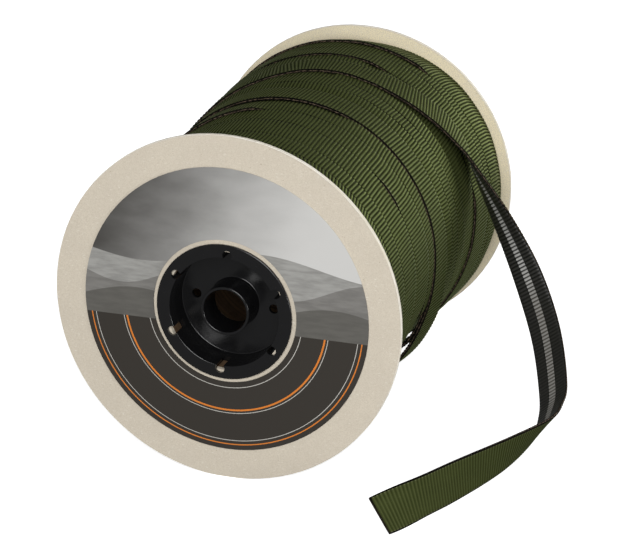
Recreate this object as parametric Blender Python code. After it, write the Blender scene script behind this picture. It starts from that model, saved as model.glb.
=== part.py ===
# Reel of flat webbing: two fibreboard flanges on a cardboard core, black plastic hub plugs,
# a paper label ring, the wound webbing, one turn that hangs slack under the reel, and the loose end.
#
# Everything is drawn in the reel's own frame: the reel's axis is Y, the front flange's outer face is
# y = 0, and z = 0 is the axis. One empty then carries all of it onto the floor, centred in its box.

import math

import bmesh
import bpy
from mathutils import Vector

# Driving dimensions, in metres
FLANGE_RADIUS = 0.110
FLANGE_THICKNESS = 0.003
FLANGE_BEVEL = 0.0004
FLAT_SPOT_DEPTH = 0.0005
REEL_LENGTH = 0.2750
CORE_INNER_RADIUS = 0.0381
CORE_WALL = 0.0045
SEAT_GAP = 0.0003

LABEL_INNER_RADIUS = 0.0455
LABEL_OUTER_RADIUS = 0.0903
LABEL_THICKNESS = 0.0003

PLUG_LIP_RADIUS = 0.0430
PLUG_LIP_THICKNESS = 0.0020
PLUG_EDGE_SOFTENING = 0.0006
PLUG_SLEEVE_RADIUS = 0.0376
PLUG_RECESS_RADIUS = 0.0346
PLUG_RECESS_DEPTH = 0.0180
PLUG_FLOOR_THICKNESS = 0.0022
PLUG_TUBE_RADIUS = 0.0154
PLUG_BORE_RADIUS = 0.0136
PLUG_NOTCH_COUNT = 6
PLUG_NOTCH_RADIUS = 0.0030
PLUG_NOTCH_CIRCLE = 0.0356
PLUG_NOTCH_DEPTH = 0.0120
PLUG_NOTCH_ANGLE = math.radians(25.5)
PLUG_FLOOR_HOLE_COUNT = 2
PLUG_FLOOR_HOLE_RADIUS = 0.0030
PLUG_FLOOR_HOLE_CIRCLE = 0.0249
PLUG_FLOOR_HOLE_ANGLE = math.radians(-5.0)

WEBBING_WIDTH = 0.0250
WEBBING_THICKNESS = 0.0020
WEBBING_EDGE_THICKNESS = 0.0008
WEBBING_EDGE_TAPER = 0.0006

ROUND_STEPS = 96
HUB_STEPS = 48
ROD_STEPS = 12
WINDING_STEPS = 80
STRIP_STEPS_PER_ROW = 5

BACK_FACE_Y = REEL_LENGTH
BACK_FLANGE_Y = REEL_LENGTH - FLANGE_THICKNESS
FLOOR_Z = -(FLANGE_RADIUS - FLAT_SPOT_DEPTH)
CORE_OUTER_RADIUS = CORE_INNER_RADIUS + CORE_WALL

# How the winding's outer radius changes along the reel: mean radius, and how much further it
# stands out to the right and at the top. The last turn has slipped down at the back flange's top.
WINDING_SHAPE = [
    # y, mean_radius, more_right, more_up
    (0.000, 0.0930, 0.0035, 0.0042),
    (0.110, 0.0965, 0.0035, 0.0042),
    (0.187, 0.1020, 0.0006, 0.0016),
    (0.215, 0.1042, -0.0003, 0.0008),
    (0.250, 0.1053, 0.0007, -0.0004),
    (0.275, 0.1034, -0.0008, 0.0000),
]
SLIP_DEPTH = 0.0045
SLIP_FROM_Y = 0.245
SLIP_ANGLE = math.radians(88)
SLIP_SPREAD = math.radians(30)

# The turns that show, each lying over the next one towards the front: where its front edge runs,
# how far that edge stands proud, and the angles between which its own turn has left the lane,
# which is then lower.
SLACK_LANE_DROP = 0.0032
LAST_LANE_DROP = 0.0016
LANES = [
    # front_y, front_edge_rise, low_from_degrees, low_to_degrees, low_by
    (0.0100, 0.0006, None, None, 0.0),
    (0.0316, 0.0007, None, None, 0.0),
    (0.0477, 0.0006, None, None, 0.0),
    (0.0712, 0.0010, None, None, 0.0),
    (0.0940, 0.0008, None, None, 0.0),
    (0.1108, 0.0024, -170, 12, SLACK_LANE_DROP),
    (0.1385, 0.0006, None, None, 0.0),
    (0.1490, 0.0007, None, None, 0.0),
    (0.1620, 0.0006, None, None, 0.0),
    (0.1740, 0.0024, -80, 68, LAST_LANE_DROP),
    (0.2160, 0.0006, None, None, 0.0),
    (0.2290, 0.0006, None, None, 0.0),
    (0.2440, 0.0010, None, None, 0.0),
]
LANE_STEP_WIDTH = 0.0010
LANE_MIDDLE_RISE_SHARE = 0.55
LANE_WAVE = 0.0005
LANE_WAVES_PER_TURN = 2
LANE_WAVE_SHIFT = math.radians(75)

SLACK_TURN_FRONT_Y = 0.1115
SLACK_TURN = [
    # degrees, gap_under_front_edge, gap_under_back_edge
    (8, 0.0006, 0.0006),
    (-4, 0.0014, 0.0026),
    (-20, 0.0029, 0.0060),
    (-40, 0.0066, 0.0090),
    (-65, 0.0082, 0.0096),
    (-92, 0.0082, 0.0090),
    (-120, 0.0062, 0.0068),
    (-145, 0.0030, 0.0034),
    (-165, 0.0006, 0.0006),
]

# The loose end, from the roll to its cut end. across_turn and across_lift give the direction
# from the webbing's back edge to its front edge: its heading in the XY plane, and its rise.
LOOSE_END = [
    # x, y, z, across_turn_degrees, across_lift_degrees
    (0.0406, 0.1889, 0.0960, -90, -1),
    (0.0598, 0.1930, 0.0857, -90, -1),
    (0.0765, 0.1992, 0.0718, -90, 2),
    (0.0909, 0.2021, 0.0556, -85, 8),
    (0.1017, 0.1997, 0.0390, -72, 21),
    (0.1240, 0.1927, 0.0060, -47, 32),
    (0.1443, 0.1823, -0.0270, -24, 35),
    (0.1617, 0.1628, -0.0575, -17, 38),
    (0.1740, 0.1335, -0.0820, -17, 40),
    (0.1765, 0.1155, -0.0905, -19, 46),
    (0.1746, 0.0963, -0.0950, -24, 56),
    (0.1610, 0.0580, -0.0968, -28, 79),
    (0.1400, 0.0120, -0.0970, 158, 81),
    (0.1260, -0.0150, -0.0975, 156, 74),
    (0.1090, -0.0375, -0.1010, 142, 43),
]


def clear_scene():
    for item in list(bpy.data.objects):
        bpy.data.objects.remove(item, do_unlink=True)


def make_material(name, color, roughness, metallic=0.0):
    material = bpy.data.materials.new(name)
    material.use_nodes = True
    shader = material.node_tree.nodes["Principled BSDF"]
    shader.inputs["Base Color"].default_value = (*color, 1.0)
    shader.inputs["Roughness"].default_value = roughness
    shader.inputs["Metallic"].default_value = metallic
    return material


def object_from_mesh(name, bm, material, reel, smooth_angle=math.radians(40)):
    mesh = bpy.data.meshes.new(name)
    bm.to_mesh(mesh)
    bm.free()
    mesh.shade_smooth()
    mesh.set_sharp_from_angle(angle=smooth_angle)
    mesh.materials.append(material)
    item = bpy.data.objects.new(name, mesh)
    bpy.context.scene.collection.objects.link(item)
    item.parent = reel
    return item


def turned_mesh(profile, steps=ROUND_STEPS):
    """Turn a closed outline of (radius, y) points about the reel's axis."""
    bm = bmesh.new()
    points = [bm.verts.new((radius, y, 0.0)) for radius, y in profile]
    edges = [bm.edges.new((points[i], points[(i + 1) % len(points)])) for i in range(len(points))]
    bmesh.ops.spin(
        bm,
        geom=points + edges,
        cent=(0, 0, 0),
        axis=(0, 1, 0),
        angle=math.tau,
        steps=steps,
        use_merge=True,
    )
    bmesh.ops.remove_doubles(bm, verts=bm.verts, dist=1e-6)
    bmesh.ops.recalc_face_normals(bm, faces=bm.faces)
    return bm


def on_circle(radius, angle, y):
    return Vector((radius * math.cos(angle), y, radius * math.sin(angle)))


def add_cutter(target, cutter):
    cutter.hide_render = True
    cutter.display_type = "WIRE"
    cut = target.modifiers.new(cutter.name, "BOOLEAN")
    cut.operation = "DIFFERENCE"
    cut.solver = "EXACT"
    cut.object = cutter


def flange(name, front_y, material, reel):
    """A board disc with a centre hole, softened rims, and a small flat spot to stand on."""
    back_y = front_y + FLANGE_THICKNESS
    outer = FLANGE_RADIUS
    inner = CORE_INNER_RADIUS
    soft = FLANGE_BEVEL
    profile = [
        (inner, front_y),
        (outer - soft, front_y),
        (outer, front_y + soft),
        (outer, back_y - soft),
        (outer - soft, back_y),
        (inner, back_y),
    ]
    disc = object_from_mesh(name, turned_mesh(profile), material, reel)
    bm = bmesh.new()
    bmesh.ops.create_cube(bm, size=1.0)
    below = object_from_mesh(name + "_flat_cutter", bm, material, reel)
    below_size = FLANGE_RADIUS
    centre = Vector((0, (front_y + back_y) / 2, FLOOR_Z - below_size / 2))
    for vert in below.data.vertices:
        vert.co = vert.co * below_size + centre
    add_cutter(disc, below)
    return disc


def core_tube(material, reel):
    front_y = FLANGE_THICKNESS + SEAT_GAP
    back_y = BACK_FLANGE_Y - SEAT_GAP
    profile = [
        (CORE_INNER_RADIUS, front_y),
        (CORE_OUTER_RADIUS, front_y),
        (CORE_OUTER_RADIUS, back_y),
        (CORE_INNER_RADIUS, back_y),
    ]
    return object_from_mesh("core_tube", turned_mesh(profile, HUB_STEPS), material, reel)


def label_ring(material, reel):
    """The paper ring glued to the front flange."""
    back_y = -SEAT_GAP
    front_y = back_y - LABEL_THICKNESS
    profile = [
        (LABEL_INNER_RADIUS, front_y),
        (LABEL_OUTER_RADIUS, front_y),
        (LABEL_OUTER_RADIUS, back_y),
        (LABEL_INNER_RADIUS, back_y),
    ]
    return object_from_mesh("label", turned_mesh(profile), material, reel)


def rod_cutter(name, radius, place, length, material, reel):
    bm = bmesh.new()
    bmesh.ops.create_cone(
        bm,
        cap_ends=True,
        segments=ROD_STEPS,
        radius1=radius,
        radius2=radius,
        depth=length,
    )
    rod = object_from_mesh(name, bm, material, reel)
    rod.rotation_euler = (math.pi / 2, 0, 0)
    rod.location = place
    return rod


def hub_plug(name, face_y, inward, material, reel):
    """A flanged cup pushed into the core, with a spindle tube standing in it.

    face_y is the flange face that the lip sits on, and inward is +1 or -1 along the axis.
    """

    def depth(distance):
        return face_y + inward * distance

    lip_back = -SEAT_GAP
    lip_front = lip_back - PLUG_LIP_THICKNESS
    floor_back = PLUG_RECESS_DEPTH + PLUG_FLOOR_THICKNESS
    soft = PLUG_EDGE_SOFTENING
    outline = [
        (PLUG_LIP_RADIUS, lip_back),
        (PLUG_LIP_RADIUS, lip_front + soft),
        (PLUG_LIP_RADIUS - soft, lip_front),
        (PLUG_RECESS_RADIUS, lip_front),
        (PLUG_RECESS_RADIUS, PLUG_RECESS_DEPTH),
        (PLUG_TUBE_RADIUS, PLUG_RECESS_DEPTH),
        (PLUG_TUBE_RADIUS, soft),
        ((PLUG_TUBE_RADIUS + PLUG_BORE_RADIUS) / 2, 0.0),
        (PLUG_BORE_RADIUS, soft),
        (PLUG_BORE_RADIUS, floor_back),
        (PLUG_SLEEVE_RADIUS, floor_back),
        (PLUG_SLEEVE_RADIUS, lip_back),
    ]
    profile = [(radius, depth(distance)) for radius, distance in outline]
    plug = object_from_mesh(name, turned_mesh(profile, HUB_STEPS), material, reel)

    notch_length = PLUG_NOTCH_DEPTH * 2
    for index in range(PLUG_NOTCH_COUNT):
        angle = PLUG_NOTCH_ANGLE + index * math.tau / PLUG_NOTCH_COUNT
        place = on_circle(PLUG_NOTCH_CIRCLE, angle, depth(PLUG_NOTCH_DEPTH - notch_length / 2))
        cutter_name = f"{name}_notch_cutter_{index + 1}"
        add_cutter(plug, rod_cutter(cutter_name, PLUG_NOTCH_RADIUS, place, notch_length, material, reel))

    for index in range(PLUG_FLOOR_HOLE_COUNT):
        angle = PLUG_FLOOR_HOLE_ANGLE + index * math.tau / PLUG_FLOOR_HOLE_COUNT
        middle = PLUG_RECESS_DEPTH + PLUG_FLOOR_THICKNESS / 2
        place = on_circle(PLUG_FLOOR_HOLE_CIRCLE, angle, depth(middle))
        cutter_name = f"{name}_floor_cutter_{index + 1}"
        length = PLUG_FLOOR_THICKNESS * 3
        add_cutter(plug, rod_cutter(cutter_name, PLUG_FLOOR_HOLE_RADIUS, place, length, material, reel))
    return plug


def between(table, column, key):
    """Read one column of a table at a key, straight between its rows."""
    if key <= table[0][0]:
        return table[0][column]
    for low, high in zip(table, table[1:]):
        if key <= high[0]:
            share = (key - low[0]) / (high[0] - low[0])
            return low[column] + share * (high[column] - low[column])
    return table[-1][column]


def winding_radius(y, angle):
    mean = between(WINDING_SHAPE, 1, y)
    right = between(WINDING_SHAPE, 2, y)
    up = between(WINDING_SHAPE, 3, y)
    slipped = max(0.0, (y - SLIP_FROM_Y) / (BACK_FLANGE_Y - SLIP_FROM_Y))
    turned = math.remainder(angle - SLIP_ANGLE, math.tau)
    slip = SLIP_DEPTH * slipped * math.exp(-((turned / SLIP_SPREAD) ** 2))
    return mean + right * math.cos(angle) + up * math.sin(angle) - slip


def turn_has_left(lane, angle):
    """Whether the lane's own turn is away from it at this angle, so that the one below shows."""
    low_from, low_to = lane[2:4]
    if low_from is None:
        return False
    return low_from <= math.degrees(math.remainder(angle, math.tau)) <= low_to


def lane_rows():
    """Rows of the winding's surface along the reel: y, height above the plain form, and lane."""
    front = FLANGE_THICKNESS + SEAT_GAP
    back = BACK_FLANGE_Y - SEAT_GAP
    rows = [(front, 0.0, LANES[0], 0.0)]
    for lane, following in zip(LANES, LANES[1:] + [None]):
        start = lane[0]
        end = following[0] - LANE_STEP_WIDTH if following else back
        rows.append((start, lane[1], lane, 1.0))
        rows.append(((start + end) / 2, lane[1] * LANE_MIDDLE_RISE_SHARE, lane, 1.0))
        rows.append((end, 0.0, lane, 1.0 if following else 0.0))
    return rows


def winding(material, reel):
    """The wound webbing as one solid round the core, its turns standing as low steps."""
    bm = bmesh.new()
    rows = lane_rows()
    inner = CORE_OUTER_RADIUS + SEAT_GAP
    rings = []
    for step in range(WINDING_STEPS):
        angle = math.tau * step / WINDING_STEPS
        ring = [bm.verts.new(on_circle(inner, angle, rows[0][0]))]
        for y, height, lane, waves in rows:
            swing = LANE_WAVES_PER_TURN * angle + LANES.index(lane) * LANE_WAVE_SHIFT
            place_y = y + waves * LANE_WAVE * math.sin(swing)
            radius = winding_radius(place_y, angle)
            radius += -lane[4] if turn_has_left(lane, angle) else height
            ring.append(bm.verts.new(on_circle(radius, angle, place_y)))
        ring.append(bm.verts.new(on_circle(inner, angle, rows[-1][0])))
        rings.append(ring)
    for step in range(WINDING_STEPS):
        here = rings[step]
        there = rings[(step + 1) % WINDING_STEPS]
        count = len(here)
        for i in range(count):
            j = (i + 1) % count
            bm.faces.new((here[i], here[j], there[j], there[i]))
    bmesh.ops.recalc_face_normals(bm, faces=bm.faces)
    return object_from_mesh("winding", bm, material, reel)


def smooth_between(rows, place):
    """A point on the smooth curve through a list of equal-length rows of numbers."""
    last = len(rows) - 1
    index = min(int(place), last - 1)
    t = place - index
    before = rows[max(index - 1, 0)]
    start = rows[index]
    end = rows[index + 1]
    after = rows[min(index + 2, last)]
    result = []
    for p0, p1, p2, p3 in zip(before, start, end, after):
        value = 2 * p1 + (p2 - p0) * t
        value += (2 * p0 - 5 * p1 + 4 * p2 - p3) * t * t
        value += (3 * p1 - p0 - 3 * p2 + p3) * t * t * t
        result.append(value / 2)
    return result


def strip_mesh(stations, floor=None):
    """Loft webbing through stations of (centre, across) pairs.

    The section is a flat bar with rounded edges. A floor height flattens what reaches below it.
    """
    half_width = WEBBING_WIDTH / 2
    half_thick = WEBBING_THICKNESS / 2
    half_edge = WEBBING_EDGE_THICKNESS / 2
    shoulder = half_width - WEBBING_EDGE_TAPER
    section = [
        (-half_width, -half_edge),
        (-shoulder, -half_thick),
        (shoulder, -half_thick),
        (half_width, -half_edge),
        (half_width, half_edge),
        (shoulder, half_thick),
        (-shoulder, half_thick),
        (-half_width, half_edge),
    ]
    bm = bmesh.new()
    rings = []
    last = len(stations) - 1
    for index, (centre, across) in enumerate(stations):
        along = stations[min(index + 1, last)][0] - stations[max(index - 1, 0)][0]
        along.normalize()
        side = (across - along * across.dot(along)).normalized()
        up = side.cross(along)
        ring = []
        for u, v in section:
            point = centre + side * u + up * v
            if floor is not None:
                point.z = max(point.z, floor)
            ring.append(bm.verts.new(point))
        rings.append(ring)
    count = len(section)
    for here, there in zip(rings, rings[1:]):
        for i in range(count):
            j = (i + 1) % count
            bm.faces.new((here[i], here[j], there[j], there[i]))
    bm.faces.new(rings[0])
    bm.faces.new(list(reversed(rings[-1])))
    bmesh.ops.recalc_face_normals(bm, faces=bm.faces)
    return bm


def slack_turn(material, reel):
    """The turn that has worked loose and hangs in a shallow bow under the reel."""
    front_y = SLACK_TURN_FRONT_Y
    back_y = front_y + WEBBING_WIDTH
    lift = WEBBING_THICKNESS / 2 - SLACK_LANE_DROP
    stations = []
    for step in range((len(SLACK_TURN) - 1) * STRIP_STEPS_PER_ROW + 1):
        degrees, front_gap, back_gap = smooth_between(SLACK_TURN, step / STRIP_STEPS_PER_ROW)
        angle = math.radians(degrees)
        front = on_circle(winding_radius(front_y, angle) + lift + front_gap, angle, front_y)
        back = on_circle(winding_radius(back_y, angle) + lift + back_gap, angle, back_y)
        stations.append(((front + back) / 2, front - back))
    return object_from_mesh("slack_turn", strip_mesh(stations), material, reel)


def loose_end(material, reel):
    """The last stretch: off the roll, down to the floor, over in a soft twist, and forward."""
    rows = []
    for x, y, z, turn, lift in LOOSE_END:
        turn = math.radians(turn)
        lift = math.radians(lift)
        across = (math.cos(lift) * math.cos(turn), math.cos(lift) * math.sin(turn), math.sin(lift))
        rows.append((x, y, z, *across))
    stations = []
    for step in range((len(rows) - 1) * STRIP_STEPS_PER_ROW + 1):
        values = smooth_between(rows, step / STRIP_STEPS_PER_ROW)
        stations.append((Vector(values[:3]), Vector(values[3:])))
    return object_from_mesh("loose_end", strip_mesh(stations, FLOOR_Z), material, reel)


def stand_on_floor(reel, pieces):
    """Move the reel's frame so that the whole part stands on z = 0, centred in its box."""
    bpy.context.view_layer.update()
    graph = bpy.context.evaluated_depsgraph_get()
    points = []
    for piece in pieces:
        mesh = piece.evaluated_get(graph).to_mesh()
        points.extend(piece.matrix_world @ vert.co for vert in mesh.vertices)
    low = [min(point[i] for point in points) for i in range(3)]
    high = [max(point[i] for point in points) for i in range(3)]
    reel.location = (-(low[0] + high[0]) / 2, -(low[1] + high[1]) / 2, -low[2])
    bpy.context.view_layer.update()


def main():
    clear_scene()
    reel = bpy.data.objects.new("reel_frame", None)
    bpy.context.scene.collection.objects.link(reel)

    board = make_material("board", (0.63, 0.57, 0.46), 0.85)
    paper = make_material("printed_paper", (0.05, 0.045, 0.04), 0.5)
    plastic = make_material("black_plastic", (0.012, 0.012, 0.013), 0.35)
    webbing = make_material("olive_webbing", (0.05, 0.065, 0.022), 0.8)

    pieces = [
        flange("flange_front", 0.0, board, reel),
        flange("flange_back", BACK_FLANGE_Y, board, reel),
        core_tube(board, reel),
        label_ring(paper, reel),
        hub_plug("plug_front", 0.0, 1, plastic, reel),
        hub_plug("plug_back", BACK_FACE_Y, -1, plastic, reel),
        winding(webbing, reel),
        slack_turn(webbing, reel),
        loose_end(webbing, reel),
    ]
    stand_on_floor(reel, pieces)


main()
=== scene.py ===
# Looks of the reel of flat webbing: fibreboard flanges, printed paper ring, black hub plugs, the wound
# turns of ribbed webbing with their black edges, the turn that hangs slack, and the loose end.
#
# Every piece is drawn in the reel's own frame, as the solids are: the axis is Y, y = 0 is the front
# flange's outer face, and z = 0 is the axis. Lengths are in metres.

import math

import bmesh
import bpy
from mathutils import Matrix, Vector, noise


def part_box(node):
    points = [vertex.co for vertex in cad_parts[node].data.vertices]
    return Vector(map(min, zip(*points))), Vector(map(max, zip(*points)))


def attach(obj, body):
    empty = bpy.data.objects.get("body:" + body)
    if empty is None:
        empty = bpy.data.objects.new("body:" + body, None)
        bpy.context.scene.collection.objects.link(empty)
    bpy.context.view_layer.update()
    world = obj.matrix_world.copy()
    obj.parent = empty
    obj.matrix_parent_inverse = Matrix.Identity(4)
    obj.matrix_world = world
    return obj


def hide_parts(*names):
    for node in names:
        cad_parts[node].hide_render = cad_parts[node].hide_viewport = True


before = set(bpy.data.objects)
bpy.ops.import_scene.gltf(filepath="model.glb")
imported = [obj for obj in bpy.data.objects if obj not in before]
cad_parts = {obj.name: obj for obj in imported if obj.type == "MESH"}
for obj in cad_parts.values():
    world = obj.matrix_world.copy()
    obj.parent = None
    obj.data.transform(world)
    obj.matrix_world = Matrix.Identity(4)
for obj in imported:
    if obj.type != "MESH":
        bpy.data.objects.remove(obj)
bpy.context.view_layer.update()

# The reel's frame and main sizes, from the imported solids
flange_low, flange_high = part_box("flange_front")
FLANGE_RADIUS = (flange_high.x - flange_low.x) / 2
FLANGE_THICKNESS = flange_high.y - flange_low.y
REEL_ORIGIN = Vector((
    (flange_low.x + flange_high.x) / 2,
    flange_low.y,
    flange_high.z - FLANGE_RADIUS,
))
REEL_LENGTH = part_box("flange_back")[1].y - flange_low.y
FLOOR_Z = -REEL_ORIGIN.z

# The webbing, and its section: half the height of its faces, and how deep the ribs sit in them. The
# edge place runs from -1 to 1 across the selvedge's thickness, and the faces lie past it.
WEBBING_WIDTH = 0.0250
WEBBING_THICKNESS = 0.0020
RIB_PITCH = 0.00245
RIB_HEIGHT = 0.00042
RIB_STEPS = 6
FACE_HEIGHT = WEBBING_THICKNESS / 2 - RIB_HEIGHT * 0.4
RIB_SUNK = RIB_HEIGHT * 0.6
EDGE_HALF_THICKNESS = 0.00055
EDGE_SOFTNESS = 0.0003
PAST_EDGE = 1.5
FACE_SHARES = [-0.955, -0.72, -0.48, -0.24, 0.0, 0.24, 0.48, 0.72, 0.955]

# The last stretch of the loose end, where the ribs lie flatter, and the tone that they fade to, which is
# set darker as painted shade on the loose end
LOOSE_LENGTH = 0.240
LOOSE_RELIEF = 0.45
LOOSE_FADE = 0.2
RIB_MIDDLE_PAINTED_SHADE = 0.38

# The winding's outer radius along the reel: mean radius, and how much further it stands out to the
# right and at the top. The last turn has slipped down at the back flange's top.
WINDING_SHAPE = [
    # y, mean_radius, more_right, more_up
    (0.000, 0.0930, 0.0035, 0.0042),
    (0.110, 0.0965, 0.0035, 0.0042),
    (0.187, 0.1020, 0.0006, 0.0016),
    (0.215, 0.1042, -0.0003, 0.0008),
    (0.250, 0.1053, 0.0007, -0.0004),
    (0.275, 0.1034, -0.0008, 0.0000),
]
SLIP_DEPTH = 0.0045
SLIP_FROM_Y = 0.245
SLIP_ANGLE = math.radians(88)
SLIP_SPREAD = math.radians(30)

# The turns that show, each lying over the one in front of it. Its front edge runs at front_y, swung
# by swing towards swing_at. Between two angles the edge stands open by open_rise, and a dark line
# shows. Elsewhere it is pressed shut. level lowers the whole turn between two more angles, and in
# the last two its front edge is sunk to the turn in front of it.
TURNS = [
    # front_y, swing, swing_at, open_rise, open_from, open_to, level, low_from, low_to, sunk_from, sunk_to
    (0.0036, 0.0000, 0, 0.0000, 0, 0, 0.0, 0, 0, 0, 0),
    (0.0316, 0.0000, 0, 0.0000, 0, 0, 0.0, 0, 0, 0, 0),
    (0.0477, 0.0000, 0, 0.0000, 0, 0, 0.0, 0, 0, 0, 0),
    (0.0712, 0.0008, 35, 0.0008, 27, 41, -0.0011, -95, -17, 0, 0),
    (0.0942, 0.0065, -40, 0.0016, 92, 200, -0.0026, -95, -24, 0, 0),
    (0.1108, 0.0000, 0, 0.0000, 0, 0, -0.0034, -180, 180, 0, 0),
    (0.1385, 0.0000, 0, 0.0000, 0, 0, -0.0036, -90, -31, -180, 180),
    (0.1490, 0.0006, 90, 0.0000, 0, 0, -0.0034, -90, -32, 0, 0),
    (0.1620, 0.0010, 90, 0.0000, 0, 0, -0.0028, -90, -34, 0, 0),
    (0.1755, 0.0014, 30, 0.0002, -80, 30, -0.0016, -80, 68, 0, 0),
    (0.1985, 0.0125, 65, 0.0008, 64, 110, 0.0, 0, 0, 2, 60),
    (0.2300, 0.0010, 160, 0.0000, 0, 0, 0.0, 0, 0, 0, 0),
    (0.2430, 0.0060, 160, 0.0016, 48, 190, 0.0, 0, 0, 0, 0),
]
SLACK_LANE = 5
SLACK_LANE_LEAD = 0.0006
LAST_TURN_GAP = 0.0004
EDGE_FADE = math.radians(9)
SUNK_DEPTH = -0.0016
TURN_WAVE = 0.0004
TURN_UNEVENNESS = 0.0003
RIB_UNEVENNESS = 0.0004
RIB_PHASE_STEP = 0.37

# A turn's rows from its front edge back. Past the edge rows its face runs to the next turn, and its
# last row is tucked under that turn.
TURN_EDGE_ROWS = [
    # from_edge, drop, rib_share, edge_place
    (0.0008, -0.0046, 0.0, 6.0),
    (0.0001, -0.0036, 0.0, 4.5),
    (0.0000, -0.0005, 0.0, -0.9),
    (0.0003, -0.0001, 0.15, -1.5),
]
TURN_FACE_START = 0.0011
TURN_FACE_MARGIN = 0.0014
TURN_ROW_SPACING = 0.0040
TURN_TUCK_START = 0.0020
TURN_TUCK_DROP = -0.0018
TURN_TUCK_RIBS = 0.6

# A turn's places across the webbing, for its colours. A shut edge starts past the black border.
FIRST_ACROSS = 0.002
SHUT_ACROSS = 0.060
SEEN_ACROSS = 0.85

# How far the ribs lean: their shift round the roll against their place along the reel
RIB_LEAN = [
    # y, shift
    (0.0030, -0.0096),
    (0.0305, 0.0000),
    (0.0470, 0.0000),
    (0.0660, 0.0011),
    (0.0880, 0.0016),
    (0.1120, 0.0037),
    (0.1320, 0.0039),
    (0.1520, 0.0048),
    (0.1650, 0.0043),
    (0.1820, 0.0059),
    (0.1900, 0.0061),
    (0.2080, 0.0079),
    (0.2290, 0.0081),
    (0.2450, 0.0070),
    (0.2570, 0.0052),
    (0.2750, -0.0002),
]

# The outermost strip, from where it comes up on the left side: over the top, down the right side,
# slack under the reel, up the left side again and across to its last place on top of the roll,
# where the loose end leaves. Heights are of its top above the plain winding.
OUTER_STRIP = [
    # degrees, front_y, front_height, back_height
    (215, 0.1150, -0.0034, -0.0040),
    (198, 0.1155, -0.0016, -0.0024),
    (180, 0.1160, 0.0004, -0.0006),
    (150, 0.1160, 0.0009, -0.0004),
    (122, 0.1160, 0.0010, -0.0004),
    (104, 0.1148, 0.0010, -0.0004),
    (90, 0.1127, 0.0009, -0.0004),
    (75, 0.1120, 0.0006, -0.0004),
    (55, 0.1118, 0.0004, -0.0003),
    (35, 0.1104, 0.0004, -0.0002),
    (15, 0.1100, 0.0004, 0.0000),
    (-2, 0.1100, 0.0004, 0.0006),
    (-20, 0.1108, 0.0015, 0.0040),
    (-30, 0.1110, 0.0032, 0.0056),
    (-42, 0.1114, 0.0054, 0.0072),
    (-65, 0.1115, 0.0062, 0.0076),
    (-92, 0.1115, 0.0062, 0.0070),
    (-120, 0.1115, 0.0042, 0.0048),
    (-145, 0.1118, 0.0012, 0.0014),
    (-165, 0.1135, 0.0008, 0.0006),
    (-185, 0.1220, 0.0018, 0.0014),
    (-208, 0.1400, 0.0018, 0.0012),
    (-230, 0.1570, 0.0012, 0.0008),
    (-243, 0.1612, 0.0011, 0.0006),
    (-254, 0.1662, 0.0010, 0.0005),
    (-264, 0.1722, 0.0010, 0.0004),
    (-274, 0.1750, 0.0011, 0.0002),
    (-284, 0.1758, 0.0013, 0.0002),
]

# A short piece of the turn below, which bulges out of its lane beside the slack
INNER_BULGE = [
    # degrees, front_y, front_height, back_height
    (6, 0.1118, -0.0030, -0.0030),
    (-8, 0.1116, -0.0016, -0.0016),
    (-18, 0.1112, -0.0004, 0.0002),
    (-25, 0.1108, 0.0007, 0.0014),
    (-30, 0.1106, 0.0012, 0.0020),
    (-34, 0.1106, 0.0010, 0.0016),
    (-38, 0.1108, -0.0004, 0.0002),
    (-44, 0.1112, -0.0022, -0.0020),
    (-54, 0.1112, -0.0036, -0.0036),
]

# The dip in the turns in front of a proud edge of the outer strip
VALLEY_DEPTH = 0.0011
VALLEY_WIDTH = 0.0055
VALLEY_FROM = 62
VALLEY_TO = 215

# The loose end, from the roll to its cut end, as in the solids
LOOSE_END = [
    # x, y, z, across_turn_degrees, across_lift_degrees
    (0.0406, 0.1889, 0.0960, -90, -1),
    (0.0598, 0.1930, 0.0857, -90, -1),
    (0.0765, 0.1992, 0.0718, -90, 2),
    (0.0909, 0.2021, 0.0556, -85, 8),
    (0.1017, 0.1997, 0.0390, -72, 21),
    (0.1240, 0.1927, 0.0060, -47, 32),
    (0.1443, 0.1823, -0.0270, -24, 35),
    (0.1617, 0.1628, -0.0575, -17, 38),
    (0.1740, 0.1335, -0.0820, -17, 40),
    (0.1765, 0.1155, -0.0905, -19, 46),
    (0.1746, 0.0963, -0.0950, -24, 56),
    (0.1610, 0.0580, -0.0968, -28, 79),
    (0.1400, 0.0120, -0.0970, 158, 81),
    (0.1260, -0.0150, -0.0975, 156, 74),
    (0.1090, -0.0375, -0.1010, 142, 43),
]

# The label's print: rolling bands behind one another, and thin rings on the dark ground
LABEL_PRINT_EDGE = 0.00012
LABEL_GROUND_Z = -0.0100

# The hub plugs
PLUG_LIP_RADIUS = 0.0430
PLUG_LIP_THICKNESS = 0.0020
PLUG_SLEEVE_RADIUS = 0.0376
PLUG_RECESS_RADIUS = 0.0346
PLUG_RECESS_DEPTH = 0.0180
PLUG_FLOOR_THICKNESS = 0.0022
PLUG_TUBE_RADIUS = 0.0154
PLUG_BORE_RADIUS = 0.0136
PLUG_NOTCH_COUNT = 6
PLUG_NOTCH_RADIUS = 0.0030
PLUG_NOTCH_CIRCLE = 0.0366
PLUG_NOTCH_DEPTH = 0.0120
PLUG_NOTCH_ANGLE = math.radians(25.5)
PLUG_FLOOR_HOLE_COUNT = 2
PLUG_FLOOR_HOLE_RADIUS = 0.0030
PLUG_FLOOR_HOLE_CIRCLE = 0.0249
PLUG_FLOOR_HOLE_ANGLE = math.radians(-5.0)
PLUG_SEAT_GAP = 0.0003
PLUG_FILLET = 0.0007
PLUG_STEPS = 144
ROD_SEGMENTS = 32

# Camera, in the reel's frame, with its lens and sensor in millimetres
CAMERA_PLACE = Vector((0.42896, -1.12229, 0.47797))
CAMERA_LENS = 123.4
CAMERA_SENSOR = 36.0
CAMERA_PITCH = math.radians(90 - 20.88)
CAMERA_HEADING = math.radians(18.34)

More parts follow.
